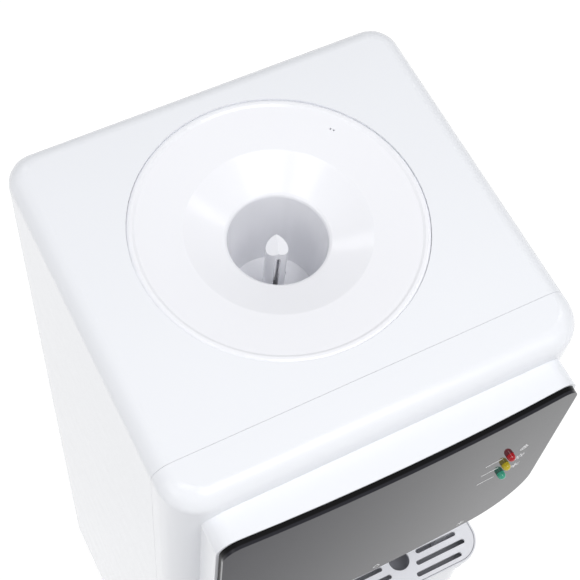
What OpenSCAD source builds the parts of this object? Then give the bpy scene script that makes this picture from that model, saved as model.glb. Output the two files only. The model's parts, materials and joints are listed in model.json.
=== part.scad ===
// Hot and cold water dispenser with a bottle seat on top, three thumb-lever taps and a drip tray.
// Millimetres. +Z is up, the front faces -Y. The origin is on the ground, at the middle of the footprint.

/* [Cabinet] */
// Width of the cabinet
cabinet_w = 280; // [272:1:300]
// Depth from the crown of the front panel to the back
cabinet_d = 292; // [286:1:300]
// Height above the ground
cabinet_h = 670; // [664:1:690]
// Thickness of the moulded walls
wall = 2.5; // [2:0.1:3]
// Rounding of the top edge
top_fillet = 13; // [10:1:16]
// Plan radius of the back corners
back_corner = 20; // [17:1:24]
// Plan radius of the front corners
front_corner = 26; // [20:1:28]
// Distance from the panel's crown back to the fascia's front wall
fascia_setback = 27; // [24:1:30]
// Distance from the panel's crown back to the side seam
seam_setback = 60; // [58:1:62]
// Width of the visible seams
seam_gap = 0.2; // [0.1:0.05:0.6]
// Height of the rubber feet
foot_h = 6; // [4:1:8]
// Distance from the panel's crown back to the posts beside the bay
post_setback = 45; // [44:1:48]

/* [Front panel] */
// Width of the dark panel
panel_w = 242; // [236:1:246]
// Height of the panel's top edge above the ground
panel_top = 650; // [646:1:652]
// Height of the panel's bottom edge above the ground
panel_bottom = 464; // [460:1:468]
// Corner radius at the panel's top
panel_top_corner = 13; // [8:1:16]
// Corner radius at the panel's bottom
panel_bottom_corner = 42; // [36:1:48]
// Plan radius of the panel's bow
panel_bow_r = 1960; // [1800:10:2400]
// Thickness of the mirror glass
glass_t = 2; // [1.5:0.1:2.5]
// Thickness of the black carrier behind the glass
carrier_t = 3.1; // [2.5:0.1:4]
// Distance of the indicator column from the middle
lens_x = 84; // [80:1:92]
// Height of the lowest indicator above the ground
lens_z = 552; // [540:1:556]
// Spacing of the indicators
lens_pitch = 16; // [14:1:18]
// Radius of the indicator domes
lens_r = 2.8; // [2.4:0.1:3.2]
// Length of an indicator's straight part in front of the glass
lens_stand = 1.8; // [0.5:0.1:2]

/* [Bottle seat] */
// Distance of the seat's centre behind the origin
seat_y = 28.6; // [26:0.1:31]
// Outer radius of the seat
seat_r = 95; // [93:0.5:96]
// Radius where the shallow dish turns into the steep funnel
cone_r = 60; // [56:1:64]
// Radius of the well at its mouth
mouth_r = 32.4; // [31:0.1:33]
// Radius of the well at its floor
well_floor_r = 29.5; // [28.5:0.1:30]
// Depth of the well's floor below the cabinet's top
well_depth = 93; // [88:1:96]
// Radius of the feed probe
probe_r = 7.3; // [6:0.1:8]

/* [Taps and bay] */
// Spacing of the taps
tap_pitch = 69; // [64:1:70]
// Distance of the nozzles from the panel's crown
nozzle_setback = 36; // [35:1:37]
// Height of the tap barrels' axis above the ground
barrel_z = 430; // [424:1:432]
// Width of the bay
bay_w = 224; // [220:1:226]
// Distance of the bay's back wall from the panel's crown
bay_depth = 82; // [80:1:83]
// Full stroke of a thumb lever, in degrees
lever_stroke = 18; // [10:1:18]

/* [Drip tray] */
// Height of the drip grille's top above the ground
tray_top = 280; // [272:1:281]
// Width of the drip tray
tray_w = 279; // [274:1:279]
// Corner radius at the tray's front
tray_corner = 22; // [20:1:30]
// Width of the grille slots
slot_w = 4; // [3:0.5:5]
// Spacing of the grille slots
slot_pitch = 9; // [8.5:0.1:9.5]
// Radius of the round drain openings under the nozzles
drip_hole_r = 9; // [8:0.2:11]

/* [Hidden] */
$fn = 64;

// Planes shared by several sub-parts
front_y = -cabinet_d / 2;
back_y = cabinet_d / 2;
fascia_y = front_y + fascia_setback;
seam_y = front_y + seam_setback;
nozzle_y = front_y + nozzle_setback;
bay_back_y = front_y + bay_depth;
bow_y = front_y + panel_bow_r;
side_x = cabinet_w / 2 - wall;
deck_z = tray_top - 24.5;
bay_top_z = panel_bottom - 2;
post_y = front_y + post_setback;
post_z = deck_z + 0.2;
lower_front_y = front_y + 17;
tray_front_y = front_y + 13;
drip_y = nozzle_y + 2;
base_top_z = foot_h + 3;
lens_zs = [lens_z, lens_z + lens_pitch, lens_z + 2 * lens_pitch];
tap_xs = [-tap_pitch, 0, tap_pitch];

// Clearance round the bottle seat
seat_gap = 0.3;

// Rear opening
cover_x = 120;
cover_z0 = 25;
cover_z1 = 430;
cover_y = back_y - 4;
switch_xs = [66, 94];
switch_z = 102;
rocker_pivot_y = back_y - 8;
gland_x = 80;
gland_z = 52;
drain_x = -84;
drain_z = 62;
pocket_w = 44;

// Lever pivot and valve
pivot_y = nozzle_y - 9;
pivot_z = barrel_z + 24;
pin_r = 1.5;
hub_bore_r = 1.56;
bonnet_z = barrel_z + 17;
head_z = pivot_z + 1.9;

// Tanks
tank_r = 52;
tank_z0 = 400;
tank_z1 = 566;
foam_r = 73;
shelf_z = 382;
hot_x = -62;
hot_y = 45;
hot_r = 42;
hot_z0 = 220;
hot_z1 = 326;
stand_z = 202;
comp_x = 62;
comp_y = 50;

// ---------- helpers ----------

// Plan outline with rounded front and back corners, cut off square at the back when rb is 0
module plan(w, y0, y1, rf, rb) {
    intersection() {
        union() {
            translate([-w / 2, y0 + rf]) square([w, y1 - rb - y0 - rf]);
            translate([-w / 2 + rf, y0]) square([w - 2 * rf, rf]);
            for (s = [-1, 1]) translate([s * (w / 2 - rf), y0 + rf]) circle(rf);
            if (rb > 0) {
                translate([-w / 2 + rb, y1 - rb]) square([w - 2 * rb, rb]);
                for (s = [-1, 1]) translate([s * (w / 2 - rb), y1 - rb]) circle(rb);
            }
        }
        translate([-w, y0 - 1]) square([2 * w, y1 - y0 + 1]);
    }
}

// Upright outline with different corner radii at the top and the bottom
module shield(w, z0, z1, rt, rb) {
    translate([-w / 2, z0 + rb]) square([w, z1 - rt - z0 - rb]);
    translate([-w / 2 + rt, z1 - rt]) square([w - 2 * rt, rt]);
    translate([-w / 2 + rb, z0]) square([w - 2 * rb, rb]);
    for (s = [-1, 1]) {
        translate([s * (w / 2 - rt), z1 - rt]) circle(rt);
        translate([s * (w / 2 - rb), z0 + rb]) circle(rb);
    }
}

// Extrudes an upright outline between two Y planes
module upright(y0, y1) {
    translate([0, y1, 0]) rotate([90, 0, 0]) linear_extrude(y1 - y0) children();
}

// The space behind the panel's bowed surface, set back by inset
module behind_bow(inset, z0, z1) {
    translate([0, bow_y, z0]) cylinder(r = panel_bow_r - inset, h = z1 - z0, $fn = 720);
}

// Box given by its two corners
module span(a, b) {
    translate(a) cube(b - a);
}

// Cylinder between two Y planes or two X planes
module rod_y(x, z, y0, y1, r) {
    translate([x, y1, z]) rotate([90, 0, 0]) cylinder(r = r, h = y1 - y0);
}
module rod_x(y, z, x0, x1, r) {
    translate([x0, y, z]) rotate([0, 90, 0]) cylinder(r = r, h = x1 - x0);
}

// Upright post with a rounded top edge, used at the cabinet's corners
module corner_post(r, h, fillet) {
    steps = 6;
    rotate_extrude($fn = 64)
        polygon(concat([[0, 0], [r, 0]],
            [for (i = [0:steps]) [r - fillet + fillet * cos(90 * i / steps),
                h - fillet + fillet * sin(90 * i / steps)]],
            [[0, h]]));
}

// Solid cabinet outline, inset all round except at the bottom
module cabinet_solid(inset, z0) {
    w = cabinet_w / 2 - inset;
    rf = front_corner - inset;
    rb = back_corner - inset;
    h = cabinet_h - inset - z0;
    hull() {
        for (s = [-1, 1]) {
            translate([s * (w - rf), fascia_y + inset + rf, z0]) corner_post(rf, h, top_fillet - inset);
            translate([s * (w - rb), back_y - inset - rb, z0]) corner_post(rb, h, top_fillet - inset);
        }
    }
}

// Straight-run tube with slightly swollen ball corners through a list of points
module pipe(points, r) {
    knuckle = 0.35;
    for (i = [0:len(points) - 2]) {
        a = points[i];
        d = points[i + 1] - a;
        length = norm(d);
        translate(a) rotate([0, acos(d[2] / length), atan2(d[1], d[0])]) cylinder(r = r, h = length, $fn = 32);
        if (i > 0) translate(a) sphere(r + knuckle, $fn = 32);
    }
}

// ---------- cabinet ----------

module rear_housing() color("white") {
    difference() {
        intersection() {
            difference() {
                cabinet_solid(0, foot_h);
                cabinet_solid(wall, foot_h - 1);
            }
            span([-cabinet_w, seam_y + seam_gap / 2, 0], [cabinet_w, cabinet_d, cabinet_h + 1]);
        }
        translate([0, seat_y, cabinet_h - 10]) cylinder(r = seat_r + seat_gap, h = 20, $fn = 128);
        span([-cover_x, back_y - 10, cover_z0], [cover_x, back_y + 1, cover_z1]);
    }
    seat_recess();
    rear_ledge();
}

// Ring ledge under the bottle seat
module seat_recess() {
    translate([0, seat_y, cabinet_h - 9])
        difference() {
            cylinder(r = seat_r + 3.3, h = 6.8, $fn = 128);
            translate([0, 0, 2.5]) cylinder(r = seat_r - 1.8, h = 10, $fn = 128);
            translate([0, 0, -1]) cylinder(r = seat_r - 16, h = 10, $fn = 128);
        }
}

// Frame that the rear cover screws onto
module rear_ledge() {
    difference() {
        span([-cover_x - 4, cover_y - 2 * wall, cover_z0 - 4], [cover_x + 4, back_y - wall, cover_z1 + 4]);
        span([-cover_x, cover_y - wall, cover_z0], [cover_x, back_y, cover_z1]);
        span([-cover_x + 8, 0, cover_z0 + 8], [cover_x - 8, back_y, cover_z1 - 8]);
        for (p = cover_screw_spots()) rod_y(p[0], p[1], 0, back_y, 1.6);
    }
}

function cover_screw_spots() =
    [for (s = [-1, 1], z = [cover_z0 + 4, (cover_z0 + cover_z1) / 2, cover_z1 - 4]) [s * (cover_x - 4), z]];

// Head over the bay and the posts beside it, inset all round except at the seam
module fascia_solid(inset) {
    intersection() {
        cabinet_solid(inset, foot_h);
        union() {
            span([-cabinet_w, -cabinet_d, bay_top_z + inset],
                [cabinet_w, seam_y - seam_gap / 2 + inset, cabinet_h + 1]);
            span([-cabinet_w, post_y + inset, post_z - inset],
                [cabinet_w, seam_y - seam_gap / 2 + inset, bay_top_z + inset + 1]);
        }
    }
}

module front_fascia() color("white") {
    block_w = panel_w + 4;
    difference() {
        union() {
            difference() {
                fascia_solid(0);
                fascia_solid(wall);
            }
            bezel_block(block_w, 0, glass_t + carrier_t);
        }
        bezel_block(block_w - 2 * wall, wall, glass_t + carrier_t + wall);
        span([-bay_w / 2, post_y - 1, post_z - 1], [bay_w / 2, post_y + wall + 1, bay_top_z]);
        rod_y(lens_x, lens_z + lens_pitch, front_y, fascia_y, 8);
        for (z = lens_zs) rod_y(lens_x, z, front_y, fascia_y, lens_r + 0.3);
    }
}

// The raised block that carries the panel, or its hollow
module bezel_block(w, inset, depth) {
    intersection() {
        upright(front_y, fascia_y + wall + (inset > 0 ? 1 : 0))
            shield(w, panel_bottom - 2 + inset, panel_top + 1 - inset,
                panel_top_corner + 1 - inset / 2, panel_bottom_corner + 1 - inset / 2);
        behind_bow(depth, panel_bottom - 10, panel_top + 10);
    }
}

module lower_front_panel() color("white") {
    height = deck_z - foot_h;
    corner = front_corner + 4;
    difference() {
        translate([0, 0, foot_h]) linear_extrude(height)
            plan(cabinet_w, lower_front_y, seam_y - seam_gap / 2, corner, 0);
        translate([0, 0, foot_h - 1]) linear_extrude(height - wall + 1)
            plan(cabinet_w - 2 * wall, lower_front_y + wall, seam_y + 1, corner - wall, 0);
    }
}

module base_plate() color("dimgray") {
    translate([0, 0, foot_h]) difference() {
        linear_extrude(base_top_z - foot_h)
            plan(2 * side_x - 0.6, lower_front_y + wall + 0.3, back_y - wall - 0.3,
                front_corner + 3, back_corner);
        for (x = [-30:12:30], y = [-70, -50]) translate([x, y, -1]) cylinder(r = 3, h = 10);
    }
}

foot_spots = [for (sx = [-1, 1], y = [-100, 115]) [sx * 105, y]];

module feet() color("black") {
    for (p = foot_spots) translate([p[0], p[1], 0]) {
        cylinder(r1 = 12.5, r2 = 14, h = 2);
        translate([0, 0, 2]) cylinder(r = 14, h = foot_h - 2);
    }
}

module base_screws() color("silver") {
    for (p = foot_spots) translate([p[0], p[1], base_top_z]) difference() {
        cylinder(r = 4, h = 2.4);
        translate([-3, -0.5, 1.4]) cube([6, 1, 2]);
    }
}

module rear_cover() color("gainsboro") {
    louvre_pitch = 12;
    difference() {
        union() {
            span([-cover_x + 0.4, cover_y - wall, cover_z0 + 0.4], [cover_x - 0.4, cover_y, cover_z1 - 0.4]);
            span([drain_x - pocket_w / 2 - 2, cover_y - 22, drain_z - pocket_w / 2 - 2],
                [drain_x + pocket_w / 2 + 2, cover_y, drain_z + pocket_w / 2 + 2]);
        }
        span([drain_x - pocket_w / 2, cover_y - 20, drain_z - pocket_w / 2],
            [drain_x + pocket_w / 2, cover_y + 1, drain_z + pocket_w / 2]);
        rod_y(drain_x, drain_z, cover_y - 30, cover_y, 7.2);
        for (x = switch_xs) span([x - 9.7, 0, switch_z - 13.7], [x + 9.7, back_y, switch_z + 13.7]);
        rod_y(gland_x, gland_z, 0, back_y, 6.2);
        for (p = cover_screw_spots()) rod_y(p[0], p[1], 0, back_y, 1.9);
        for (z = [150:louvre_pitch:400], s = [-1, 1])
            span([s * 50 - 40, 0, z], [s * 50 + 40, back_y, z + 4]);
    }
}

module rear_cover_screws() color("silver") {
    for (p = cover_screw_spots()) {
        rod_y(p[0], p[1], cover_y - 9, cover_y, 1.5);
        difference() {
            rod_y(p[0], p[1], cover_y, cover_y + 2.2, 3.4);
            span([p[0] - 2.4, cover_y + 1.2, p[1] - 0.5], [p[0] + 2.4, cover_y + 3, p[1] + 0.5]);
            span([p[0] - 0.5, cover_y + 1.2, p[1] - 2.4], [p[0] + 0.5, cover_y + 3, p[1] + 2.4]);
        }
    }
}

module bay_liner() color("whitesmoke") {
    half = bay_w / 2;
    front = post_y + wall + 0.1;
    top = bay_top_z + 5;
    difference() {
        union() {
            span([-half - wall, bay_back_y, deck_z - wall], [half + wall, bay_back_y + wall, top]);
            span([-half - wall, front, top - wall], [half + wall, bay_back_y, top]);
            span([-half - wall, seam_y + 0.4, deck_z - wall], [half + wall, bay_back_y, deck_z]);
            for (s = [-1, 1]) {
                x0 = s > 0 ? half : -half - wall;
                span([x0, front, deck_z + 0.1], [x0 + wall, bay_back_y, top - wall]);
                span([x0, seam_y + 0.4, deck_z - wall], [x0 + wall, bay_back_y, deck_z + 1]);
            }
        }
        for (x = tap_xs) rod_y(x, barrel_z, bay_back_y - 1, bay_back_y + wall + 1, 8.3);
    }
}

// ---------- front panel ----------

module panel_slab(inset, thickness) {
    difference() {
        intersection() {
            upright(front_y - 1, fascia_y)
                shield(panel_w, panel_bottom, panel_top, panel_top_corner, panel_bottom_corner);
            behind_bow(inset, panel_bottom - 10, panel_top + 10);
        }
        behind_bow(inset + thickness, panel_bottom - 20, panel_top + 20);
        for (z = lens_zs) rod_y(lens_x, z, front_y - 5, fascia_y, lens_r + 0.2);
    }
}

module panel_carrier() color("black") panel_slab(glass_t, carrier_t);

module mirror_glass() color("gray") panel_slab(0, glass_t);

// Where the bowed glass stands in front of the indicators
lens_face_y = bow_y - sqrt(panel_bow_r * panel_bow_r - lens_x * lens_x);

// Round-nosed indicator, standing proud of the glass
module lens(index) {
    root_y = lens_face_y + 10;
    nose_y = lens_face_y - lens_stand;
    rod_y(lens_x, lens_zs[index], nose_y, root_y, lens_r);
    translate([lens_x, nose_y, lens_zs[index]]) intersection() {
        sphere(lens_r);
        span([-lens_r, -lens_r, -lens_r], [lens_r, 0, lens_r]);
    }
}

module lens_green() color("green") lens(0);

module lens_yellow() color("gold") lens(1);

module lens_red() color("red") lens(2);

module indicator_board() color("darkgreen") {
    face_y = lens_face_y + 10;
    span([lens_x - 13, face_y + 1.2, lens_z - 13], [lens_x + 13, face_y + 2.8, lens_z + 2 * lens_pitch + 13]);
    for (z = lens_zs) span([lens_x - 1.8, face_y, z - 1.8], [lens_x + 1.8, face_y + 1.2, z + 1.8]);
    span([lens_x - 6, face_y + 2.8, lens_z - 10], [lens_x + 6, face_y + 8, lens_z - 4]);
}

// ---------- bottle seat ----------

module bottle_seat() color("white") {
    top = cabinet_h;
    skin = 2.2;
    floor_z = top - well_depth;
    translate([0, seat_y, 0]) difference() {
        rotate_extrude($fn = 128) polygon([
            [0, floor_z], [well_floor_r, floor_z], [mouth_r, top - 20.5],
            [mouth_r + 0.6, top - 19], [mouth_r + 2, top - 17.8],
            [cone_r, top - 7], [seat_r - 5, top - 1.6], [seat_r - 3.4, top - 0.6], [seat_r - 1.8, top - 0.5],
            [seat_r - 0.6, top - 1], [seat_r, top - 1.5], [seat_r, top - 1.9], [seat_r - 2.4, top - 1.9],
            [seat_r - 2.4, top - 6.2], [seat_r - 4.4, top - 6.2], [seat_r - 4.4, top - 5.2],
            [seat_r - 13, top - 5.2], [cone_r - 0.4, top - 7 - skin], [mouth_r + 2.6, top - 17.8 - skin],
            [mouth_r + 1.8, top - 24], [well_floor_r + skin, floor_z - skin], [0, floor_z - skin]]);
        translate([0, 0, floor_z - 10]) cylinder(r = 5.4, h = 20);
        translate([15.5, 11.3, floor_z - 10]) cylinder(r = 1.1, h = 20, $fn = 24);
        for (a = [37.6, 39.3]) rotate([0, 0, a]) translate([82, 0, top - 10]) cylinder(r = 0.7, h = 20, $fn = 24);
    }
}

// Hollow spike that opens the bottle cap and lets the water in
module feed_probe() color("white") {
    floor_z = cabinet_h - well_depth;
    tip_z = cabinet_h - 25.5;
    slot_azimuth = -20;
    translate([0, seat_y, 0]) rotate([0, 0, slot_azimuth]) difference() {
        union() {
            translate([0, 0, floor_z]) cylinder(r = 11, h = 2.4);
            translate([0, 0, floor_z]) cylinder(r = probe_r, h = tip_z - floor_z);
            translate([0, 0, floor_z - 16]) cylinder(r = 5.2, h = 16);
        }
        translate([0, 0, floor_z - 17]) cylinder(r = 3.6, h = tip_z - floor_z + 5);
        translate([-1.7, -probe_r - 1, floor_z + 14]) cube([3.4, probe_r + 1, tip_z - floor_z - 21]);
        translate([-1.7, 0, floor_z + 14]) cube([3.4, probe_r + 1, tip_z - floor_z - 21]);
        for (s = [-1, 1]) translate([0, 0, tip_z]) rotate([0, s * 38, 0])
            translate([-20, -20, 0]) cube([40, 40, 20]);
    }
}

module seat_gasket() color("lightgray") {
    translate([0, seat_y, cabinet_h - 6.4]) difference() {
        cylinder(r = seat_r - 4.8, h = 1.1, $fn = 128);
        translate([0, 0, -1]) cylinder(r = seat_r - 12, h = 4, $fn = 128);
    }
}

// ---------- cold side ----------

module tank_lid() color("lightgray") {
    translate([0, seat_y, tank_z1]) difference() {
        union() {
            cylinder(r = tank_r + 5, h = 2.6);
            cylinder(r = mouth_r + 6, h = 42);
        }
        translate([0, 0, 2.6]) cylinder(r = mouth_r + 3.6, h = 50);
        translate([0, 0, -1]) cylinder(r = 6, h = 10);
        translate([-26, 0, -1]) cylinder(r = 3, h = 10);
    }
}

module cold_tank() color("silver") {
    sheet = 1.2;
    translate([0, seat_y, tank_z0]) difference() {
        union() {
            cylinder(r = tank_r, h = tank_z1 - tank_z0 - 0.1);
            translate([0, 0, tank_z1 - tank_z0 - 2.1]) cylinder(r = tank_r + 5, h = 2);
        }
        translate([0, 0, sheet]) cylinder(r = tank_r - sheet, h = tank_z1 - tank_z0);
        translate([20, -20, -1]) cylinder(r = 4.2, h = 5);
        translate([-20, -20, -1]) cylinder(r = 4.2, h = 5);
        translate([-20, 20, -1]) cylinder(r = 4.2, h = 5);
    }
}

module baffle() color("white") {
    translate([0, seat_y, tank_z0 + 1.3]) {
        difference() {
            translate([0, 0, 95]) cylinder(r = tank_r - 4, h = 2.5);
            for (a = [45:90:360]) rotate([0, 0, a]) translate([34, 0, 90]) cylinder(r = 4, h = 10);
        }
        cylinder(r = 5, h = 95.1);
    }
}

module evaporator() color("peru") {
    tube_r = 2.6;
    ring_r = tank_r + tube_r + 0.1;
    translate([0, seat_y, 0]) {
        for (i = [0:7]) translate([0, 0, tank_z0 + 12 + 10 * i])
            rotate_extrude($fn = 96) translate([ring_r, 0]) circle(tube_r, $fn = 24);
        translate([0, ring_r, tank_z0 + 12]) cylinder(r = tube_r - 0.3, h = 70, $fn = 24);
    }
}

module cold_foam() color("ivory") {
    bottom = tank_z0 - 14;
    translate([0, seat_y, bottom]) difference() {
        cylinder(r = foam_r, h = tank_z1 + 3 - bottom);
        translate([0, 0, 13.9]) cylinder(r = tank_r + 6, h = 300);
        translate([20, -20, -1]) cylinder(r = 6, h = 20);
        translate([-20, -20, -1]) cylinder(r = 6, h = 20);
        translate([-20, 20, -1]) cylinder(r = 6, h = 20);
    }
}

module tank_shelf() color("silver") {
    difference() {
        span([-side_x + 0.1, -24, shelf_z], [side_x - 0.1, back_y - 20, shelf_z + 3.9]);
        translate([0, seat_y, shelf_z - 1]) cylinder(r = 34, h = 10);
    }
}

// ---------- hot side ----------

module hot_tank() color("silver") {
    sheet = 1.2;
    translate([hot_x, hot_y, 0]) {
        difference() {
            union() {
                translate([0, 0, hot_z0]) cylinder(r = hot_r, h = hot_z1 - hot_z0);
                translate([0, 0, hot_z1]) cylinder(r = 5, h = 8);
                translate([18, 0, hot_z0 - 8]) cylinder(r = 5, h = 8);
                translate([-18, 0, hot_z0 - 8]) cylinder(r = 5, h = 8);
            }
            translate([0, 0, hot_z0 + sheet]) cylinder(r = hot_r - sheet, h = hot_z1 - hot_z0 - 2 * sheet);
            translate([0, 0, hot_z1 - 5]) cylinder(r = 3.5, h = 20);
            for (x = [-18, 18]) translate([x, 0, hot_z0 - 10]) cylinder(r = 3.5, h = 15);
        }
    }
}

module heater_band() color("dimgray") {
    translate([hot_x, hot_y, hot_z0 + 22]) difference() {
        union() {
            cylinder(r = hot_r + 2.4, h = 32);
            span([-8, -hot_r - 5, 6], [8, -hot_r + 1, 26]);
        }
        translate([0, 0, -1]) cylinder(r = hot_r + 0.05, h = 40);
        span([-1, -hot_r - 6, -1], [1, -hot_r + 2, 40]);
    }
}

module thermostats() color("tan") {
    for (dz = [66, 86]) rod_y(hot_x, hot_z0 + dz, hot_y - hot_r - 5, hot_y - hot_r - 0.1, 7);
}

module hot_foam() color("ivory") {
    translate([hot_x, hot_y, hot_z0]) difference() {
        cylinder(r = hot_r + 18, h = hot_z1 - hot_z0);
        translate([0, 0, -1]) cylinder(r = hot_r + 6, h = 200);
    }
}

module tank_stand() color("silver") {
    y0 = -20;
    y1 = 110;
    difference() {
        union() {
            span([-128, y0, stand_z], [4, y1, stand_z + 2]);
            span([-128, y0, base_top_z], [-126, y1, stand_z]);
            span([2, y0, base_top_z], [4, y1, stand_z]);
            difference() {
                translate([hot_x, hot_y, stand_z]) cylinder(r = hot_r + 4, h = hot_z0 - stand_z);
                translate([hot_x, hot_y, stand_z - 1]) cylinder(r = hot_r - 6, h = 40);
            }
        }
        for (x = [-18, 18]) translate([hot_x + x, hot_y, stand_z - 1]) cylinder(r = 9, h = 10);
        span([0, 30, 150], [6, 106, 196]);
    }
}

// ---------- hoses ----------

hose_r = 4;
tail_y = bay_back_y + wall + 9;
elbow_y = tail_y + 3.3;

module hose_cold() color("lightblue") {
    pipe([[20, seat_y - 20, tank_z0 + 0.9], [20, seat_y - 20, 366], [tap_pitch, -30, 366],
        [tap_pitch, -30, barrel_z], [tap_pitch, tail_y, barrel_z]], hose_r);
}

module hose_room() color("lightblue") {
    pipe([[-20, seat_y - 20, tank_z0 + 0.9], [-20, seat_y - 20, 350], [-84, -36, 350], [-84, -36, 408],
        [-30, elbow_y, 408], [-30, elbow_y, barrel_z], [0, elbow_y, barrel_z], [0, tail_y, barrel_z]], hose_r);
}

module hose_hot() color("lightgray") {
    pipe([[hot_x, hot_y, hot_z1 + 8.1], [hot_x, hot_y, 346], [-105, -30, 346], [-105, -30, barrel_z + 16],
        [-tap_pitch, -30, barrel_z + 16], [-tap_pitch, -30, barrel_z], [-tap_pitch, tail_y, barrel_z]], hose_r);
}

module hose_feed() color("lightgray") {
    pipe([[-20, seat_y + 20, tank_z0 + 0.9], [-20, seat_y + 20, 370], [10, 100, 370], [10, 100, 190],
        [hot_x + 18, hot_y, 190], [hot_x + 18, hot_y, hot_z0 - 8.1]], hose_r);
}

module hose_drain() color("lightgray") {
    pipe([[hot_x - 18, hot_y, hot_z0 - 8.1], [hot_x - 18, hot_y, 150], [drain_x, 100, 150],
        [drain_x, 100, drain_z], [drain_x, cover_y - 28.1, drain_z]], hose_r);
}

// ---------- cooling and power ----------

module compressor() color("black") {
    translate([comp_x, comp_y, 0]) {
        translate([0, 0, 26]) rotate_extrude($fn = 96) polygon([
            [0, 0], [44, 0], [52, 6], [54, 16], [54, 66], [55.5, 67], [55.5, 71], [54, 72], [53, 90], [47, 104], [36, 113], [20, 118], [0, 120]]);
        span([-50, -8, 22], [50, 8, 26.1]);
        span([-8, -50, 22], [8, 50, 26.1]);
        translate([-30, 30, 120]) cylinder(r = 3, h = 26);
        translate([30, 30, 120]) cylinder(r = 3, h = 26);
        span([-16, -62, 60], [16, -50, 96]);
    }
}

module grommets() color("black") {
    for (p = [[44, 0], [-44, 0], [0, 44], [0, -44]])
        translate([comp_x + p[0], comp_y + p[1], base_top_z]) {
            cylinder(r = 7, h = 5);
            translate([0, 0, 5]) cylinder(r = 5, h = 3);
            translate([0, 0, 8]) cylinder(r = 7, h = 22 - base_top_z - 8);
        }
}

module condenser() color("dimgray") {
    rows = 9;
    pitch = 27;
    y = cover_y - 12;
    z0 = 150;
    half_w = 98;
    pipe([for (i = [0:2 * rows - 1])
        [(floor((i + 1) / 2) % 2 == 0 ? -1 : 1) * half_w, y, z0 + pitch * floor(i / 2)]], 2.6);
    for (i = [0:13]) translate([-91 + 14 * i, y + 3, z0 - 5])
        cylinder(r = 0.8, h = pitch * (rows - 1) + 10, $fn = 16);
}

module dryer() color("peru") {
    translate([112, 96, 200]) {
        cylinder(r = 9, h = 70);
        translate([0, 0, 70]) cylinder(r1 = 9, r2 = 3, h = 10);
        translate([0, 0, 80]) cylinder(r = 3, h = 26);
        translate([0, 0, -10]) cylinder(r1 = 3, r2 = 9, h = 10);
        translate([0, 0, -40]) cylinder(r = 3, h = 30);
    }
}

module power_board() color("darkgreen") {
    y = lower_front_y + 24;
    z0 = base_top_z + 41;
    span([-60, y, z0], [60, y + 1.6, z0 + 90]);
    span([-50, y + 1.6, z0 + 10], [-18, y + 26, z0 + 40]);
    span([-8, y + 1.6, z0 + 12], [10, y + 18, z0 + 30]);
    span([18, y + 1.6, z0 + 12], [36, y + 18, z0 + 30]);
    for (x = [-44, -26, 42]) rod_y(x, z0 + 66, y + 1.6, y + 20, 7);
    span([-60, y - 1.5, base_top_z], [-56, y, z0 + 90]);
    span([56, y - 1.5, base_top_z], [60, y, z0 + 90]);
}

// ---------- rear controls ----------

module switch_frames() color("black") {
    for (x = switch_xs) difference() {
        union() {
            span([x - 9.5, rocker_pivot_y - 14, switch_z - 13.5], [x + 9.5, cover_y + 1.4, switch_z + 13.5]);
            span([x - 11, cover_y + 0.05, switch_z - 15], [x + 11, cover_y + 1.4, switch_z + 15]);
        }
        span([x - 6.9, rocker_pivot_y - 8, switch_z - 10.6], [x + 6.9, back_y, switch_z + 10.6]);
        rod_x(rocker_pivot_y, switch_z, x - 9, x + 9, 1.56);
    }
}

module rocker(x) {
    rest_tilt = -8;
    translate([x, rocker_pivot_y, switch_z]) rotate([rest_tilt, 0, 0]) {
        translate([-6.5, 0, 0]) rotate([90, 0, 90]) linear_extrude(13)
            polygon([[-2, -6], [-2, 6], [1, 9.2], [4.6, 9.2], [3, 0], [4.6, -9.2], [1, -9.2]]);
        translate([-8.6, 0, 0]) rotate([0, 90, 0]) cylinder(r = 1.5, h = 17.2);
    }
}

module rocker_hot() color("red") rocker(switch_xs[0]);

module rocker_cold() color("green") rocker(switch_xs[1]);

module cord_gland() color("black") {
    difference() {
        union() {
            rod_y(gland_x, gland_z, cover_y - 14, cover_y + 0.1, 6);
            rod_y(gland_x, gland_z, cover_y + 0.05, cover_y + 3.4, 9);
            rod_y(gland_x, gland_z, cover_y - 6, cover_y - wall - 0.05, 9);
        }
        rod_y(gland_x, gland_z, 0, back_y + 1, 3.6);
    }
}

module drain_fitting() color("lightgray") {
    difference() {
        union() {
            rod_y(drain_x, drain_z, cover_y - 28, cover_y - 3, 7);
            rod_y(drain_x, drain_z, cover_y - 19.95, cover_y - 16, 12);
            rod_y(drain_x, drain_z, cover_y - 26, cover_y - 22.05, 12);
        }
        rod_y(drain_x, drain_z, 0, back_y, 4.1);
    }
}

module drain_cap() color("black") {
    difference() {
        union() {
            rod_y(drain_x, drain_z, cover_y - 14, cover_y + 1.5, 11);
            for (a = [0:30:330]) translate([drain_x + 11 * cos(a), cover_y - 13, drain_z + 11 * sin(a)])
                rotate([-90, 0, 0]) cylinder(r = 0.9, h = 13, $fn = 16);
        }
        rod_y(drain_x, drain_z, cover_y - 15, cover_y - 1, 7.4);
    }
}

// ---------- taps ----------

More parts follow.
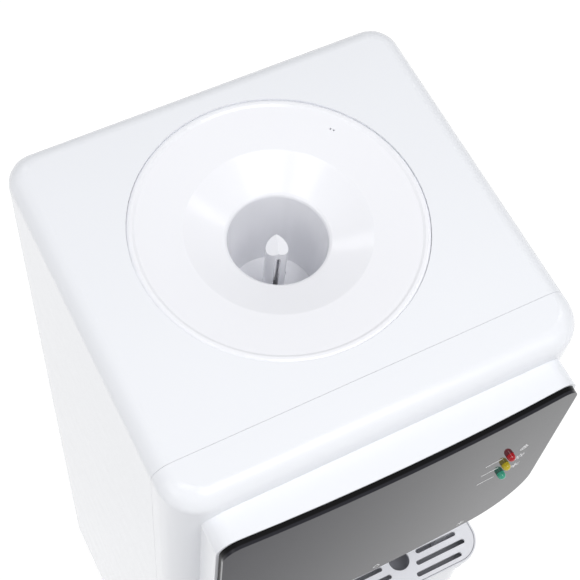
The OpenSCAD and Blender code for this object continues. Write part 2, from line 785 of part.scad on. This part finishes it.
module tap_body(x) {
    difference() {
        union() {
            translate([x, nozzle_y, barrel_z - 12]) cylinder(r = 12, h = bonnet_z - barrel_z + 12);
            translate([x, nozzle_y, bonnet_z - 9]) cylinder(r = 13, h = 9);
            translate([x, nozzle_y, barrel_z - 24]) cylinder(r1 = 6.4, r2 = 7.4, h = 12.1);
            rod_y(x, barrel_z, nozzle_y, bay_back_y - 0.1, 9);
            rod_y(x, barrel_z, bay_back_y - 4, bay_back_y - 0.1, 17);
            rod_y(x, barrel_z, bay_back_y - 1, tail_y - 0.1, 8);
            for (s = [-1, 1]) ear(x, s);
        }
        translate([x, nozzle_y, barrel_z - 7]) cylinder(r = 8, h = 21);
        translate([x, nozzle_y, barrel_z - 30]) cylinder(r = 4.4, h = 30);
        translate([x, nozzle_y, barrel_z]) cylinder(r = 2.3, h = 40);
        rod_y(x, barrel_z, nozzle_y, tail_y, 4.5);
        rod_x(pivot_y, pivot_z, x - 20, x + 20, pin_r);
    }
}

// Ear beside the lever's hub
module ear(x, side) {
    x0 = side > 0 ? x + 6.2 : x - 9.2;
    rod_x(pivot_y, pivot_z, x0, x0 + 3, 4);
    span([x0, pivot_y - 4, bonnet_z - 4], [x0 + 3, pivot_y + 4, pivot_z]);
    span([x0, pivot_y, bonnet_z - 4], [x0 + 3, nozzle_y, bonnet_z + 1]);
}

module tap_body_hot() color("whitesmoke") tap_body(tap_xs[0]);

module tap_body_room() color("whitesmoke") tap_body(tap_xs[1]);

module tap_body_cold() color("whitesmoke") tap_body(tap_xs[2]);

module tap_nuts() color("white") {
    for (x = tap_xs) difference() {
        translate([x, bay_back_y + wall + 8.1, barrel_z]) rotate([90, 0, 0]) cylinder(r = 13, h = 8, $fn = 6);
        rod_y(x, barrel_z, bay_back_y, bay_back_y + 20, 8.05);
    }
}

module tap_pins() color("silver") {
    for (x = tap_xs) {
        rod_x(pivot_y, pivot_z, x - 9.4, x + 9.4, pin_r - 0.01);
        rod_x(pivot_y, pivot_z, x - 10.4, x - 9.3, 2.4);
    }
}

// Thumb lever: hub, forked rear arm and front pad
module lever(x) {
    arm = nozzle_y - pivot_y;
    pad_w = 26;
    translate([x, pivot_y, pivot_z]) difference() {
        union() {
            rod_x(0, 0, -5.8, 5.8, 4.2);
            for (s = [-1, 1]) {
                x0 = s > 0 ? 2.7 : -5.4;
                rod_x(arm, 0, x0, x0 + 2.7, 1.5);
                span([x0, 2.5, -1.2], [x0 + 2.7, arm, 0.6]);
            }
            rotate([14, 0, 0]) {
                span([-5.7, -8, -1.5], [5.7, -3, 1.5]);
                translate([0, 0, -1.6]) linear_extrude(3.2) thumb_pad(pad_w);
            }
        }
        rod_x(0, 0, -10, 10, hub_bore_r);
    }
}

// Outline of the thumb pad, in front of the pivot
module thumb_pad(w) {
    r = 6;
    translate([-w / 2, -14]) square([w, 8]);
    translate([-w / 2 + r, -20]) square([w - 2 * r, 7]);
    for (s = [-1, 1]) translate([s * (w / 2 - r), -14]) circle(r);
}

module lever_hot() color("red") lever(tap_xs[0]);

module lever_room() color("whitesmoke") lever(tap_xs[1]);

module lever_cold() color("blue") lever(tap_xs[2]);

// Valve plunger: seal, stem and the head that the lever lifts
module plunger(x) {
    translate([x, nozzle_y, 0]) {
        translate([0, 0, barrel_z - 6.7]) cylinder(r = 6.6, h = 3.4);
        translate([0, 0, barrel_z - 3.4]) cylinder(r = 3.6, h = 3);
        translate([0, 0, barrel_z - 2]) cylinder(r = 2, h = head_z - barrel_z + 2.5);
        translate([0, 0, head_z]) cylinder(r = 4, h = 2.4);
    }
}

module plunger_hot() color("gray") plunger(tap_xs[0]);

module plunger_room() color("gray") plunger(tap_xs[1]);

module plunger_cold() color("gray") plunger(tap_xs[2]);

// Red latch that slides along the hot lever's pad
module child_lock() color("firebrick") {
    translate([tap_xs[0], pivot_y, pivot_z]) rotate([14, 0, 0]) {
        span([-5, -15, 1.9], [5, -8, 4.2]);
        for (y = [-13.5, -11.5, -9.5]) rod_x(y, 4.2, -4, 4, 0.5);
    }
}

// ---------- drip tray ----------

// Plan of the tray, inset all round: wide in front of the posts, narrower inside the bay
module tray_plan(inset) {
    neck_w = bay_w - 2;
    shoulder_y = post_y - 0.5;
    plan(tray_w - 2 * inset, tray_front_y + inset, shoulder_y - inset, tray_corner - inset, 0);
    translate([-neck_w / 2 + inset, shoulder_y - 15])
        square([neck_w - 2 * inset, bay_back_y - 2 - inset - shoulder_y + 15]);
}

module drip_tray() color("white") {
    floor_z = deck_z + 0.5;
    rim = 6;
    difference() {
        union() {
            translate([0, 0, tray_top - rim]) linear_extrude(rim) tray_plan(0);
            translate([0, 0, floor_z]) linear_extrude(tray_top - rim - floor_z + 0.1) tray_plan(2.5);
        }
        translate([0, 0, floor_z + 2]) linear_extrude(30) tray_plan(4.3);
        translate([0, 0, tray_top - 3]) linear_extrude(10) tray_plan(1.2);
    }
}

module drip_grille() color("whitesmoke") {
    outer_ends = [120, 128, 124];
    inner_gaps = [7.5, 12, 16.3];
    narrow = bay_w / 2 - 11;
    difference() {
        translate([0, 0, tray_top - 2.7]) linear_extrude(2.5) tray_plan(1.8);
        for (x = tap_xs) translate([x, drip_y, tray_top - 10]) cylinder(r = drip_hole_r, h = 20);
        for (row = [0:6]) {
            y = drip_y - (2 - row) * slot_pitch;
            end = row < 3 ? outer_ends[row] : narrow;
            gap = inner_gaps[min(row, 2)];
            slot(-end, -tap_pitch - gap, y);
            slot(-tap_pitch + gap, -gap, y);
            slot(gap, tap_pitch - gap, y);
            slot(tap_pitch + gap, end, y);
        }
    }
}

// One through slot with round ends, from x0 to x1 at y
module slot(x0, x1, y) {
    r = slot_w / 2;
    translate([x0 + r, y - r, tray_top - 10]) cube([x1 - x0 - slot_w, slot_w, 20]);
    for (x = [x0 + r, x1 - r]) translate([x, y, tray_top - 10]) cylinder(r = r, h = 20, $fn = 24);
}

rear_housing();
front_fascia();
lower_front_panel();
base_plate();
feet();
base_screws();
rear_cover();
rear_cover_screws();
bay_liner();
panel_carrier();
mirror_glass();
lens_red();
lens_yellow();
lens_green();
indicator_board();
bottle_seat();
feed_probe();
seat_gasket();
tank_lid();
cold_tank();
baffle();
evaporator();
cold_foam();
tank_shelf();
hot_tank();
heater_band();
thermostats();
hot_foam();
tank_stand();
hose_cold();
hose_room();
hose_hot();
hose_feed();
hose_drain();
compressor();
grommets();
condenser();
dryer();
power_board();
switch_frames();
rocker_hot();
rocker_cold();
cord_gland();
drain_fitting();
drain_cap();
tap_body_hot();
tap_body_room();
tap_body_cold();
tap_nuts();
tap_pins();
lever_hot();
lever_room();
lever_cold();
plunger_hot();
plunger_room();
plunger_cold();
child_lock();
drip_tray();
drip_grille();
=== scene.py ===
"""Water dispenser: materials, printed marks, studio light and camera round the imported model. Metres."""
import json
import math

import bmesh
import bpy
from mathutils import Matrix, Vector
from mathutils.bvhtree import BVHTree


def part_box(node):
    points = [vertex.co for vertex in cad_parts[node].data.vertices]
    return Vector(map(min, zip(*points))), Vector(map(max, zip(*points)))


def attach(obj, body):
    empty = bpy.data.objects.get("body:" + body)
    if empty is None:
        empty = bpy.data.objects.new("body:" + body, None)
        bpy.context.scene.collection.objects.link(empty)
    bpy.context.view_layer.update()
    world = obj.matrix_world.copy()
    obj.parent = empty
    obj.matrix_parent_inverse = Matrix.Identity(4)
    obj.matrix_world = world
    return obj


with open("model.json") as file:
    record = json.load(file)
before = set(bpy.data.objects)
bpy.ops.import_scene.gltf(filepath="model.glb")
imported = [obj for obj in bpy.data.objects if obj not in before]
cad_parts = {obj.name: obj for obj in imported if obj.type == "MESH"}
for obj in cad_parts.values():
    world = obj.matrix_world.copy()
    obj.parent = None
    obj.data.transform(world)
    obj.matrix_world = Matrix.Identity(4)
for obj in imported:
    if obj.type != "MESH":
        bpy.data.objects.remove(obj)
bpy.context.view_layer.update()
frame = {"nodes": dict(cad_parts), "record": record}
nodes = frame["nodes"]

MM = 0.001


# ---------- node helpers ----------

def new_material(name, color, roughness, metallic=0.0, specular=0.5, coat=0.0, coat_roughness=0.05):
    """A Principled material with its constant values on the shader's own sockets."""
    mat = bpy.data.materials.new(name)
    mat.use_nodes = True
    shader = mat.node_tree.nodes["Principled BSDF"]
    shader.inputs["Base Color"].default_value = (*color, 1.0)
    shader.inputs["Roughness"].default_value = roughness
    shader.inputs["Metallic"].default_value = metallic
    shader.inputs["Specular IOR Level"].default_value = specular
    shader.inputs["Coat Weight"].default_value = coat
    shader.inputs["Coat Roughness"].default_value = coat_roughness
    return mat, shader


def noise(mat, scale, detail=2.0, stretch=(1, 1, 1)):
    """Noise over the object's own coordinates. scale is in features per metre."""
    tree = mat.node_tree
    coords = tree.nodes.new("ShaderNodeTexCoord")
    mapping = tree.nodes.new("ShaderNodeMapping")
    mapping.inputs["Scale"].default_value = stretch
    texture = tree.nodes.new("ShaderNodeTexNoise")
    texture.inputs["Scale"].default_value = scale
    texture.inputs["Detail"].default_value = detail
    tree.links.new(coords.outputs["Object"], mapping.inputs["Vector"])
    tree.links.new(mapping.outputs["Vector"], texture.inputs["Vector"])
    return texture


def ramp(mat, source, low, high, start=0.3, end=0.7):
    """A colour ramp between two colours."""
    node = mat.node_tree.nodes.new("ShaderNodeValToRGB")
    node.color_ramp.elements[0].position = start
    node.color_ramp.elements[1].position = end
    node.color_ramp.elements[0].color = (*low, 1.0)
    node.color_ramp.elements[1].color = (*high, 1.0)
    mat.node_tree.links.new(source, node.inputs["Fac"])
    return node.outputs["Color"]


def math_node(mat, operation, first, second):
    """A math node. Its first input is a socket, and its second a socket or a float."""
    node = mat.node_tree.nodes.new("ShaderNodeMath")
    node.operation = operation
    mat.node_tree.links.new(first, node.inputs[0])
    if isinstance(second, float):
        node.inputs[1].default_value = second
    else:
        mat.node_tree.links.new(second, node.inputs[1])
    return node.outputs["Value"]


def vary_color(mat, shader, color, amount, scale):
    """Slight colour variation round color."""
    texture = noise(mat, scale, 3.0)
    low = tuple(c * (1 - amount) for c in color)
    high = tuple(min(1.0, c * (1 + amount)) for c in color)
    varied = ramp(mat, texture.outputs["Fac"], low, high)
    mat.node_tree.links.new(varied, shader.inputs["Base Color"])


def vary_roughness(mat, shader, low, high, scale, stretch=(1, 1, 1)):
    """Roughness that wanders between low and high."""
    texture = noise(mat, scale, 4.0, stretch)
    node = mat.node_tree.nodes.new("ShaderNodeMapRange")
    node.inputs["From Min"].default_value = 0.3
    node.inputs["From Max"].default_value = 0.7
    node.inputs["To Min"].default_value = low
    node.inputs["To Max"].default_value = high
    mat.node_tree.links.new(texture.outputs["Fac"], node.inputs["Value"])
    mat.node_tree.links.new(node.outputs["Result"], shader.inputs["Roughness"])


def add_bump(mat, shader, scale, depth, strength=1.0, stretch=(1, 1, 1)):
    """Surface relief: scale in features per metre, depth in metres."""
    texture = noise(mat, scale, 2.0, stretch)
    node = mat.node_tree.nodes.new("ShaderNodeBump")
    node.inputs["Distance"].default_value = depth
    node.inputs["Strength"].default_value = strength
    mat.node_tree.links.new(texture.outputs["Fac"], node.inputs["Height"])
    mat.node_tree.links.new(node.outputs["Normal"], shader.inputs["Normal"])


# ---------- kinds of material ----------

# Orange peel and polish on glossy mouldings. Scales are in features per metre.
PEEL_SCALE = 260
PEEL_DEPTH = 0.002 * MM
POLISH_SCALE = 35
PLASTIC_SPECULAR = 0.28
PLASTIC_ROUGHNESS = 0.15

# A face whose normal has at least this much Z looks upward.
UPWARD = 0.7


def gloss_plastic(name, color):
    """Injection-moulded glossy plastic: faint orange peel and a slightly uneven polish."""
    mat, shader = new_material(name, color, PLASTIC_ROUGHNESS, specular=PLASTIC_SPECULAR)
    vary_color(mat, shader, color, 0.004, 9)
    vary_roughness(mat, shader, PLASTIC_ROUGHNESS * 0.9, PLASTIC_ROUGHNESS * 1.12, POLISH_SCALE)
    add_bump(mat, shader, PEEL_SCALE, PEEL_DEPTH)
    return mat


def shaded_tray_plastic(name, color, floor_shade_color, floor_below):
    """Glossy plastic whose upward faces below a height, the tray's floor, are darkened with painted
    shade.
    """
    mat, shader = new_material(name, color, 0.2, specular=PLASTIC_SPECULAR)
    tree = mat.node_tree
    coords = tree.nodes.new("ShaderNodeTexCoord")
    place = tree.nodes.new("ShaderNodeSeparateXYZ")
    facing = tree.nodes.new("ShaderNodeSeparateXYZ")
    tree.links.new(coords.outputs["Object"], place.inputs["Vector"])
    tree.links.new(coords.outputs["Normal"], facing.inputs["Vector"])
    low = math_node(mat, "LESS_THAN", place.outputs["Z"], floor_below)
    upward = math_node(mat, "GREATER_THAN", facing.outputs["Z"], UPWARD)
    # Painted shade mask: upward faces below the rim height, the tray's floor.
    shaded_floor = math_node(mat, "MULTIPLY", low, upward)
    tree.links.new(ramp(mat, shaded_floor, color, floor_shade_color, 0.0, 1.0), shader.inputs["Base Color"])
    vary_roughness(mat, shader, 0.17, 0.24, POLISH_SCALE)
    add_bump(mat, shader, PEEL_SCALE, PEEL_DEPTH)
    return mat


def satin_plastic(name, color, roughness=0.45, specular=0.4):
    """Fine spark-eroded texture on moulded plastic."""
    mat, shader = new_material(name, color, roughness, specular=specular)
    vary_color(mat, shader, color, 0.03, 60)
    add_bump(mat, shader, 2600, 0.04 * MM)
    return mat


def rubber(name, color):
    """Matte rubber with a fine grain."""
    mat, shader = new_material(name, color, 0.75, specular=0.3)
    vary_color(mat, shader, color, 0.12, 180)
    add_bump(mat, shader, 1800, 0.06 * MM)
    return mat


def brushed_metal(name, color, roughness=0.3):
    """Metal brushed along Z."""
    mat, shader = new_material(name, color, roughness, metallic=1.0)
    vary_roughness(mat, shader, roughness * 0.7, roughness * 1.4, 40, (60, 60, 1))
    add_bump(mat, shader, 60, 0.02 * MM, 0.6, (40, 40, 1))
    return mat


def bare_metal(name, color, roughness=0.3):
    """Plain metal with handling marks."""
    mat, shader = new_material(name, color, roughness, metallic=1.0)
    vary_color(mat, shader, color, 0.08, 45)
    vary_roughness(mat, shader, roughness * 0.7, roughness * 1.5, 90)
    return mat


def painted_metal(name, color):
    """Satin paint with a faint texture."""
    mat, shader = new_material(name, color, 0.4, coat=0.4, coat_roughness=0.3)
    vary_color(mat, shader, color, 0.1, 70)
    add_bump(mat, shader, 900, 0.03 * MM)
    return mat


def foam(name, color):
    """Expanded foam: small bonded beads."""
    mat, shader = new_material(name, color, 0.9, specular=0.2)
    tree = mat.node_tree
    coords = tree.nodes.new("ShaderNodeTexCoord")
    cells = tree.nodes.new("ShaderNodeTexVoronoi")
    cells.inputs["Scale"].default_value = 330
    bump = tree.nodes.new("ShaderNodeBump")
    bump.inputs["Distance"].default_value = 0.5 * MM
    tree.links.new(coords.outputs["Object"], cells.inputs["Vector"])
    tree.links.new(cells.outputs["Distance"], bump.inputs["Height"])
    tree.links.new(bump.outputs["Normal"], shader.inputs["Normal"])
    vary_color(mat, shader, color, 0.05, 200)
    return mat


def dark_mirror(name, color):
    """Dark mirror-like panel, a little uneven in its polish. The IOR sets how grey it looks."""
    mat, shader = new_material(name, color, 0.06, specular=0.27)
    vary_color(mat, shader, color, 0.05, 6)
    vary_roughness(mat, shader, 0.05, 0.08, 8)
    shader.inputs["IOR"].default_value = 1.38
    return mat


def lens_plastic(name, color):
    """Tinted translucent indicator plastic with a little light inside."""
    mat, shader = new_material(name, color, 0.12, specular=0.6)
    shader.inputs["Transmission Weight"].default_value = 0.15
    shader.inputs["Emission Color"].default_value = (*color, 1.0)
    shader.inputs["Emission Strength"].default_value = 0.06
    vary_color(mat, shader, color, 0.12, 700)
    return mat


# ---------- materials on the model ----------

materials = {
    "white_gloss": gloss_plastic("white_gloss", (0.9, 0.915, 0.95)),
    # Painted light: white_clean is a brighter copy of the white plastic, lightening the shade in the deep
    # well.
    "white_clean": gloss_plastic("white_clean", (0.935, 0.94, 0.975)),
    "white_satin": satin_plastic("white_satin", (0.84, 0.85, 0.875)),
    "rear_grey": satin_plastic("rear_grey", (0.68, 0.69, 0.71)),
    "black_plastic": satin_plastic("black_plastic", (0.018, 0.018, 0.02)),
    "black_gloss": satin_plastic("black_gloss", (0.003, 0.003, 0.0035), 0.4, 0.13),
    "mirror_dark": dark_mirror("mirror_dark", (0.026, 0.026, 0.031)),
    "lens_red": lens_plastic("lens_red", (0.48, 0.01, 0.018)),
    "lens_yellow": lens_plastic("lens_yellow", (0.62, 0.5, 0.02)),
    "lens_green": lens_plastic("lens_green", (0.06, 0.42, 0.28)),
    "pcb": satin_plastic("pcb", (0.012, 0.13, 0.05)),
    "silicone": rubber("silicone", (0.62, 0.62, 0.64)),
    "silicone_tube": rubber("silicone_tube", (0.6, 0.68, 0.72)),
    "rubber": rubber("rubber", (0.02, 0.02, 0.02)),
    "stainless": brushed_metal("stainless", (0.6, 0.6, 0.61)),
    "zinc": bare_metal("zinc", (0.62, 0.62, 0.64)),
    "copper": bare_metal("copper", (0.72, 0.36, 0.2)),
    "foam": foam("foam", (0.82, 0.8, 0.72)),
    "painted_black": painted_metal("painted_black", (0.015, 0.015, 0.017)),
    "red_plastic": gloss_plastic("red_plastic", (0.52, 0.015, 0.015)),
    "blue_plastic": gloss_plastic("blue_plastic", (0.02, 0.1, 0.46)),
    "green_plastic": gloss_plastic("green_plastic", (0.02, 0.3, 0.08)),
}
ink = satin_plastic("ink", (0.85, 0.85, 0.86), 0.6)

TRAY_WHITE = (0.9, 0.91, 0.945)
# Painted shade: the dark grey given to the tray's floor, deep and shaded under the grille.
TRAY_FLOOR_SHADE = (0.34, 0.34, 0.37)
TRAY_RIM_DROP = 4 * MM
SMOOTH_ANGLE = math.radians(25)
WELD_DISTANCE = 0.001 * MM


def paint_parts():
    """Gives every part the material of its slot, and paints shade on the drip tray's floor."""
    for part in frame["record"]["subparts"]:
        obj = nodes[part["node"]]
        obj.data.materials.clear()
        obj.data.materials.append(materials[part["material_slot"]])
    # Painted shade on the drip tray's floor, below the rim's height.
    floor_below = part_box("drip_tray")[1].z - TRAY_RIM_DROP
    tray_painted_shade = shaded_tray_plastic("tray_painted_shade", TRAY_WHITE, TRAY_FLOOR_SHADE, floor_below)
    nodes["drip_tray"].data.materials[0] = tray_painted_shade


def smooth_rounded_edges(obj):
    """Shades the rounded edges of a moulded shell as curves. Its shape stays as it is."""
    mesh = obj.data
    if "custom_normal" in mesh.attributes:
        mesh.attributes.remove(mesh.attributes["custom_normal"])
    mesh.shade_smooth()
    weld = obj.modifiers.new("weld", "WELD")
    weld.merge_threshold = WELD_DISTANCE
    split = obj.modifiers.new("corners", "EDGE_SPLIT")
    split.split_angle = SMOOTH_ANGLE
    split.use_edge_sharp = False
    obj.modifiers.new("weighted_normals", "WEIGHTED_NORMAL")


paint_parts()
for part in frame["record"]["subparts"]:
    if part["material_slot"] == "white_gloss":
        smooth_rounded_edges(nodes[part["node"]])


# ---------- printed marks on the glass ----------

INK_THICKNESS = 0.04 * MM
LENS_ICON_SIZE = 8 * MM
LENS_ICON_OFFSET = 11.5 * MM
LENS_ICON_LINE = 1.0 * MM
DASHES_SIZE = 12 * MM
DASHES_OFFSET = 12 * MM
DASHES_LINE = 1.2 * MM
TAP_ICON_SIZE = 6.5 * MM
TAP_ICON_HEIGHT = 8 * MM
TAP_ICON_LINE = 0.7 * MM


def polar(radius, angle):
    """A point at a distance and an angle from the middle of an icon."""
    return (radius * math.cos(angle), radius * math.sin(angle))


def glass_depth():
    """Where the glass's front surface lies at an (x, z) place, found by a ray from the front."""
    mesh = nodes["mirror_glass"].data
    tree = BVHTree.FromPolygons([v.co for v in mesh.vertices], [p.vertices for p in mesh.polygons])
    return lambda x, z: tree.ray_cast(Vector((x, -1, z)), Vector((0, 1, 0)))[0].y


def strip_corners(start, end, width):
    """The four corners of a straight strip that runs half its width past both ends."""
    along = (end - start).normalized()
    side = Vector((-along.z, 0, along.x)) * width / 2
    overlap = along * width / 2
    return [start - side - overlap, end - side + overlap, end + side + overlap, start + side - overlap]


def print_mark(name, center, strips, width, size):
    """One icon of thin inked strips on the glass. Each strip is a line of points in a unit square."""
    depth = glass_depth()
    bm = bmesh.new()
    for points in strips:
        path = [Vector((center[0] + x * size, 0, center[1] + z * size)) for x, z in points]
        for start, end in zip(path, path[1:]):
            corners = strip_corners(start, end, width)
            rings = []
            for lift in (INK_THICKNESS, -INK_THICKNESS):
                rings.append([bm.verts.new((c.x, depth(c.x, c.z) - lift, c.z)) for c in corners])
            front, back = rings
            bm.faces.new(front)
            bm.faces.new(back[::-1])
            for k in range(4):
                bm.faces.new((front[k], back[k], back[(k + 1) % 4], front[(k + 1) % 4]))
    bmesh.ops.recalc_face_normals(bm, faces=bm.faces)
    mesh = bpy.data.meshes.new(name)
    bm.to_mesh(mesh)
    bm.free()
    mark = bpy.data.objects.new(name, mesh)
    bpy.context.scene.collection.objects.link(mark)
    mesh.materials.append(ink)
    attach(mark, "cabinet")


def drop_points(scale=1.0):
    """A pointed drop, closed at its tip."""
    count = 16
    start, sweep = math.radians(-235), math.radians(290)
    tip = (0, 0.5)
    belly = [polar(0.34, start + sweep * i / count) for i in range(count + 1)]
    outline = [tip] + [(x, z - 0.14) for x, z in belly] + [tip]
    return [(x * scale, z * scale) for x, z in outline]


def snow_strips():
    """Three crossing bars."""
    turns = [math.radians(60 * k + 30) for k in range(3)]
    return [[polar(-0.45, turn), polar(0.45, turn)] for turn in turns]


def sun_strips():
    """A ring with short rays."""
    count = 18
    ring = [polar(0.24, 2 * math.pi * i / count) for i in range(count + 1)]
    turns = [math.radians(45 * k) for k in range(8)]
    return [ring] + [[polar(0.38, turn), polar(0.5, turn)] for turn in turns]


def flame_strips():
    """A drop with a smaller one inside it."""
    return [drop_points(), [(x, z - 0.12) for x, z in drop_points(0.45)]]


def make_marks():
    """Icons right of the indicators, dashes left of them, and an icon over each tap."""
    icons = {"lens_red": flame_strips(), "lens_yellow": sun_strips(), "lens_green": snow_strips()}
    dashes = [[(-0.5, 0.0), (-0.2, 0.0)], [(-0.1, 0.0), (0.15, 0.0)], [(0.25, 0.0), (0.5, 0.0)]]
    for lens, strips in icons.items():
        low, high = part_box(lens)
        x, z = (low.x + high.x) / 2, (low.z + high.z) / 2
        print_mark("icon_" + lens, (x + LENS_ICON_OFFSET, z), strips, LENS_ICON_LINE, LENS_ICON_SIZE)
        print_mark("dashes_" + lens, (x - DASHES_OFFSET, z), dashes, DASHES_LINE, DASHES_SIZE)
    panel_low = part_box("mirror_glass")[0]
    taps = {"lever_hot": flame_strips(), "lever_room": [drop_points()], "lever_cold": snow_strips()}
    for lever, strips in taps.items():
        low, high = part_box(lever)
        place = ((low.x + high.x) / 2, panel_low.z + TAP_ICON_HEIGHT)
        print_mark("icon_" + lever, place, strips, TAP_ICON_LINE, TAP_ICON_SIZE)


make_marks()


# ---------- stage, light and camera ----------

FLOOR_HALF = 6.0
FLOOR_WHITE = (0.3, 0.3, 0.3)
FLOOR_GLOW = 0.85
# Painted shadow: a soft dark pool on the floor in front of the machine, seen reflected in the dark panel.
SHADOW_PATCH_CENTER = (-0.2604, -0.539)
SHADOW_PATCH_RADII = (0.62, 0.55)
SHADOW_PATCH_TINT = (0.21, 0.21, 0.235)
TENT_COLOR = (0.98, 0.985, 1.0, 1.0)
TENT_STRENGTH = 0.37

# Name, azimuth and elevation in degrees (azimuth 0 is the front), distance, size, power in watts.
SOFTBOXES = [
    ("key", 12, 64, 1.8, (0.9, 0.9), 10.6),
    ("overhead_front", 8, 76, 1.6, (0.3, 0.6), 2.0),
    ("overhead_left", -86, 74, 1.6, (0.3, 0.6), 2.0),
    ("right", 92, 44, 1.6, (0.15, 0.4), 0.8),
    ("back", -166, 39, 1.6, (0.15, 0.4), 0.8),
    ("left_fill", -80, 32, 1.8, (1.2, 1.0), 4.7),
    ("front_fill", 25, 46, 1.8, (1.0, 0.8), 3.6),
]

CAMERA_AZIMUTH = -34.0
CAMERA_ELEVATION = 61.35
CAMERA_ROLL = 7.85
CAMERA_DISTANCE = 1.1037
CAMERA_TARGET = Vector((0.0531, 0.0861, 0.4449))
CAMERA_LENS_MM = 86.8
CAMERA_SENSOR_MM = 36


def view_direction(azimuth, elevation):
    """The unit vector towards a place seen at these angles in degrees. Azimuth 0 is the front."""
    turn, lift = math.radians(azimuth), math.radians(elevation)
    across = math.cos(lift)
    return Vector((math.sin(turn) * across, -math.cos(turn) * across, math.sin(lift)))


def make_floor():
    """A pale floor, far larger than the picture, with a painted shadow: a soft darker patch in front of
    the machine.
    """
    h = FLOOR_HALF
    mesh = bpy.data.meshes.new("floor")
    mesh.from_pydata([(-h, -h, 0), (h, -h, 0), (h, h, 0), (-h, h, 0)], [], [(0, 1, 2, 3)])
    floor = bpy.data.objects.new("floor", mesh)
    bpy.context.scene.collection.objects.link(floor)
    mat, shader = new_material("floor_white", FLOOR_WHITE, 0.7, specular=0.1)
    tree = mat.node_tree
    coords = tree.nodes.new("ShaderNodeTexCoord")
    patch = tree.nodes.new("ShaderNodeMapping")
    patch.vector_type = "POINT"
    patch.inputs["Scale"].default_value = (1 / SHADOW_PATCH_RADII[0], 1 / SHADOW_PATCH_RADII[1], 1)
    patch.inputs["Location"].default_value = (-SHADOW_PATCH_CENTER[0] / SHADOW_PATCH_RADII[0],
                                              -SHADOW_PATCH_CENTER[1] / SHADOW_PATCH_RADII[1], 0)
    falloff = tree.nodes.new("ShaderNodeTexGradient")
    falloff.gradient_type = "SPHERICAL"
    tree.links.new(coords.outputs["Object"], patch.inputs["Vector"])
    tree.links.new(patch.outputs["Vector"], falloff.inputs["Vector"])
    # Even white glow over the floor, fading to the painted shadow's tint inside the patch.
    glow_and_painted_shadow = ramp(mat, falloff.outputs["Fac"], (1, 1, 1), SHADOW_PATCH_TINT, 0.0, 0.7)
    tree.links.new(glow_and_painted_shadow, shader.inputs["Emission Color"])
    shader.inputs["Emission Strength"].default_value = FLOOR_GLOW
    vary_color(mat, shader, FLOOR_WHITE, 0.01, 3)
    mesh.materials.append(mat)


def softbox(name, azimuth, elevation, distance, size, power):
    """A rectangular softbox in a direction round the bottle seat, turned towards it."""
    direction = view_direction(azimuth, elevation)
    data = bpy.data.lights.new(name, "AREA")
    data.shape = "RECTANGLE"
    data.size, data.size_y = size
    data.energy = power
    light = bpy.data.objects.new(name, data)
    low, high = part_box("bottle_seat")
    light.location = (low + high) / 2 + direction * distance
    light.rotation_euler = (-direction).to_track_quat("-Z", "Y").to_euler()
    bpy.context.scene.collection.objects.link(light)


def make_lights():
    """A key and two small boxes overhead, weaker ones round the machine, and an even white tent."""
    for settings in SOFTBOXES:
        softbox(*settings)
    world = bpy.data.worlds.new("tent")
    world.use_nodes = True
    background = world.node_tree.nodes["Background"]
    background.inputs["Color"].default_value = TENT_COLOR
    background.inputs["Strength"].default_value = TENT_STRENGTH
    bpy.context.scene.world = world


def make_camera():
    """Looks down on the front left corner, slightly rolled."""
    direction = view_direction(CAMERA_AZIMUTH, CAMERA_ELEVATION)
    roll = math.radians(CAMERA_ROLL)
    forward = -direction
    right = forward.cross(Vector((0, 0, 1))).normalized()
    up = right.cross(forward)
    rolled_right = right * math.cos(roll) + up * math.sin(roll)
    rolled_up = up * math.cos(roll) - right * math.sin(roll)
    data = bpy.data.cameras.new("camera")
    data.lens = CAMERA_LENS_MM
    data.sensor_width = CAMERA_SENSOR_MM
    data.clip_end = 50
    camera = bpy.data.objects.new("camera", data)
    rotation = Matrix((rolled_right, rolled_up, -forward)).transposed().to_4x4()
    camera.matrix_world = Matrix.Translation(CAMERA_TARGET + direction * CAMERA_DISTANCE) @ rotation
    bpy.context.scene.collection.objects.link(camera)
    bpy.context.scene.camera = camera


make_floor()
make_lights()
make_camera()
bpy.context.scene.view_settings.view_transform = "Standard"
